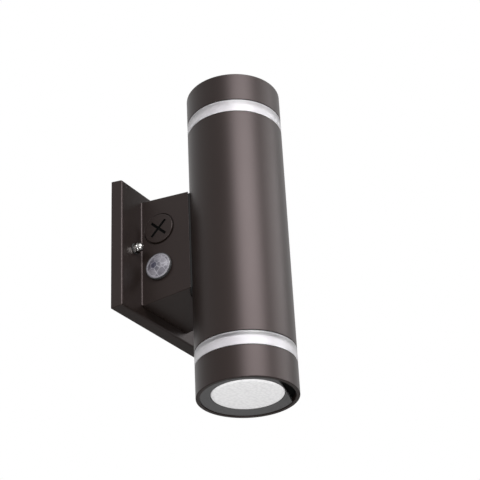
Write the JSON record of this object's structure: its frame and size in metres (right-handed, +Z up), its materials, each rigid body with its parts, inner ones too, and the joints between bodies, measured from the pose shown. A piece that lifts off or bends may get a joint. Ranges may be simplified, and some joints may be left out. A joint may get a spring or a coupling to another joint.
{
  "type": "outdoor up-down wall light",
  "caption": "Outdoor wall light: square canopy plate, tapered arm, upright round body shining up and down, clear glow rings, recessed lenses, photocell and screwed switch cover.",
  "frame": {"origin": "centre of the canopy plate on the wall, midway between the two slots of the mounting strap", "axes": "+Z up along the body, +Y into the wall, +X to the right of someone who faces the wall"},
  "size_m": [0.119, 0.1263, 0.2782],
  "materials": {
    "bronze_coat": "fine textured powder coat, satin",
    "zinc_plate": "bright zinc plated sheet",
    "green_paint": "green coated ground screw",
    "chrome_plate": "bright nickel plate",
    "screw_steel": "plain stainless steel",
    "black_rubber": "matt black moulded rubber",
    "grey_foam": "closed-cell foam strip",
    "cell_plastic": "dark grey moulding",
    "cell_lens": "translucent grey polycarbonate with facets",
    "sensor_face": "resin over a light-sensitive track",
    "board_green": "solder mask",
    "board_white": "white solder mask on aluminium",
    "switch_black": "black moulding",
    "knob_white": "white moulding",
    "driver_grey": "light grey moulded case",
    "bare_aluminium": "bare pressed and die-cast metal",
    "led_phosphor": "phosphor face",
    "reflector_white": "bright white moulding",
    "sleeve_white": "opal white diffusing sleeve",
    "clear_ring": "clear polished acrylic",
    "frosted_lens": "etched glass, satin",
    "trim_bronze": "satin dark grey-bronze",
    "lead_black": "insulation",
    "lead_red": "insulation",
    "lead_blue": "insulation",
    "lead_grey": "insulation"
  },
  "bodies": {
    "fixture": {"back_plate": "bronze_coat", "wall_gasket": "grey_foam", "crossbar": "zinc_plate", "ground_screw": "green_paint", "mounting_studs": "zinc_plate", "seal_washers": "black_rubber", "cap_nuts": "chrome_plate", "arm_housing": "bronze_coat", "arm_gasket": "black_rubber", "arm_screws": "screw_steel", "saddle_gasket": "black_rubber", "tube_screws": "screw_steel", "wire_grommet": "black_rubber", "photocell_body": "cell_plastic", "photocell_lens": "cell_lens", "photocell_sensor": "sensor_face", "photocell_gasket": "black_rubber", "photocell_nut": "cell_plastic", "selector_board": "board_green", "selector_switch": "switch_black", "board_screws": "screw_steel", "main_tube": "bronze_coat", "driver_case": "driver_grey", "driver_bracket": "bare_aluminium", "bracket_screws": "screw_steel", "driver_screws": "screw_steel", "heat_sink_top": "bare_aluminium", "heat_sink_bottom": "bare_aluminium", "heat_sink_screws": "screw_steel", "led_board_top": "board_white", "led_board_bottom": "board_white", "leds": "led_phosphor", "reflector_top": "reflector_white", "reflector_bottom": "reflector_white", "glow_sleeve_top": "sleeve_white", "glow_sleeve_bottom": "sleeve_white", "accent_ring_top": "clear_ring", "accent_ring_bottom": "clear_ring", "ring_gaskets_top": "black_rubber", "ring_gaskets_bottom": "black_rubber", "end_ring_top": "bronze_coat", "end_ring_bottom": "bronze_coat", "end_screws": "screw_steel", "lens_gasket_top": "black_rubber", "lens_gasket_bottom": "black_rubber", "lens_top": "frosted_lens", "lens_bottom": "frosted_lens", "trim_ring_top": "trim_bronze", "trim_ring_bottom": "trim_bronze", "supply_leads": "lead_black", "photocell_leads": "lead_red", "selector_leads": "lead_blue", "led_leads": "lead_grey"},
    "plug_carriage": {"plug_o_ring": "black_rubber"},
    "plug": {"switch_plug": "bronze_coat"},
    "selector_slider": {"selector_knob": "knob_white"}
  },
  "joints": [
    {"name": "plug_lift", "type": "slide", "parent": "fixture", "child": "plug_carriage", "axis": [-0.996, -0.0889, 0], "range_m": [0, 0.0045]},
    {"name": "plug_turn", "type": "hinge", "parent": "plug_carriage", "child": "plug", "pos_m": [-0.0303, -0.0272, 0.018], "axis": [-0.996, -0.0889, 0], "range_deg": [0, 1080]},
    {"name": "selector_slide", "type": "slide", "parent": "fixture", "child": "selector_slider", "axis": [-0.0889, 0.996, 0], "range_m": [-0.002, 0.002]}
  ],
  "couplings": [
    {"joint": "plug_turn", "follows": "plug_lift", "rad_per_m": 4188.8}
  ]
}
